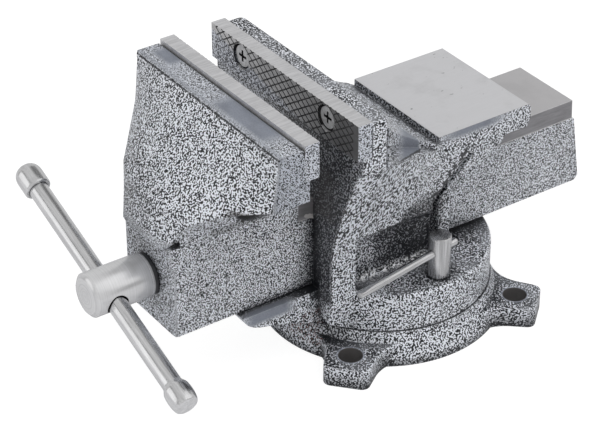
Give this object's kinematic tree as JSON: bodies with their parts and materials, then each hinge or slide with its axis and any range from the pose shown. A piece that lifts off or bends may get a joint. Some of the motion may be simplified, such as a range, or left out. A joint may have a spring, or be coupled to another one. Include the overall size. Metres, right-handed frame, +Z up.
{
  "type": "swivel bench vise",
  "caption": "Swivel bench vise with grooved jaw plates, anvil, sliding T-bar handle and lever-locked round base with bolt-down ears.",
  "frame": {"origin": "on the bench surface, on the swivel axis", "axes": "+Z up, +Y from the handle towards the anvil, +X to the right seen from the handle"},
  "size_m": [0.1215, 0.2329, 0.1235],
  "materials": {
    "body_paint": "grey hammertone paint on cast iron",
    "jaw_steel": "ground steel",
    "screw_steel": "dark steel",
    "turned_steel": "turned, bright zinc plated",
    "handle_chrome": "polished plated steel",
    "dark_steel": "blackened spring steel",
    "nut_iron": "plain cast iron"
  },
  "bodies": {
    "base": {"swivel_base": "body_paint"},
    "body": {"fixed_jaw": "body_paint", "rear_jaw_plate": "jaw_steel", "rear_plate_screw_left": "screw_steel", "rear_plate_screw_right": "screw_steel", "spindle_nut": "nut_iron", "nut_bolt": "screw_steel", "pivot_bolt": "screw_steel", "pivot_washer": "screw_steel", "clamp_nut_left": "screw_steel", "clamp_nut_right": "screw_steel"},
    "moving": {"moving_jaw": "body_paint", "front_jaw_plate": "jaw_steel", "front_plate_screw_left": "screw_steel", "front_plate_screw_right": "screw_steel"},
    "screw": {"spindle": "turned_steel", "thrust_washer": "dark_steel", "spring_washer_front": "dark_steel", "spindle_spring": "dark_steel", "spring_washer_rear": "dark_steel", "split_pin": "dark_steel"},
    "handle": {"handle_bar": "handle_chrome", "handle_cap": "handle_chrome"},
    "lock_right": {"lock_bolt_right": "turned_steel"},
    "lock_left": {"lock_bolt_left": "turned_steel"},
    "rod_right": {"lock_rod_right": "handle_chrome"},
    "rod_left": {"lock_rod_left": "handle_chrome"}
  },
  "joints": [
    {"name": "body_swivel", "type": "hinge", "parent": "base", "child": "body", "pos_m": [0, 0, 0], "axis": [0, 0, 1], "continuous": true},
    {"name": "jaw_slide", "type": "slide", "parent": "body", "child": "moving", "axis": [0, 1, 0], "range_m": [-0.077, 0.0174]},
    {"name": "spindle_turn", "type": "hinge", "parent": "moving", "child": "screw", "pos_m": [0, -0.12, 0.055], "axis": [0, 1, 0], "range_deg": [-6940, 1570]},
    {"name": "handle_slide", "type": "slide", "parent": "screw", "child": "handle", "axis": [0.9385, 0, -0.3453], "range_m": [-0.037, 0.0444]},
    {"name": "lock_turn_right", "type": "hinge", "parent": "body", "child": "lock_right", "pos_m": [0.0376, 0.0014, 0.04], "axis": [0, 0, 1], "range_deg": [-10, 165]},
    {"name": "lock_turn_left", "type": "hinge", "parent": "body", "child": "lock_left", "pos_m": [-0.0376, 0.0014, 0.04], "axis": [0, 0, 1], "range_deg": [-165, 10]},
    {"name": "rod_slide_right", "type": "slide", "parent": "lock_right", "child": "rod_right", "axis": [0.1616, -0.9869, 0], "range_m": [-0.036, 0.0034]},
    {"name": "rod_slide_left", "type": "slide", "parent": "lock_left", "child": "rod_left", "axis": [-0.1616, -0.9869, 0], "range_m": [-0.036, 0.0034]}
  ],
  "couplings": [
    {"joint": "spindle_turn", "follows": "jaw_slide", "rad_per_m": 1570.8}
  ]
}
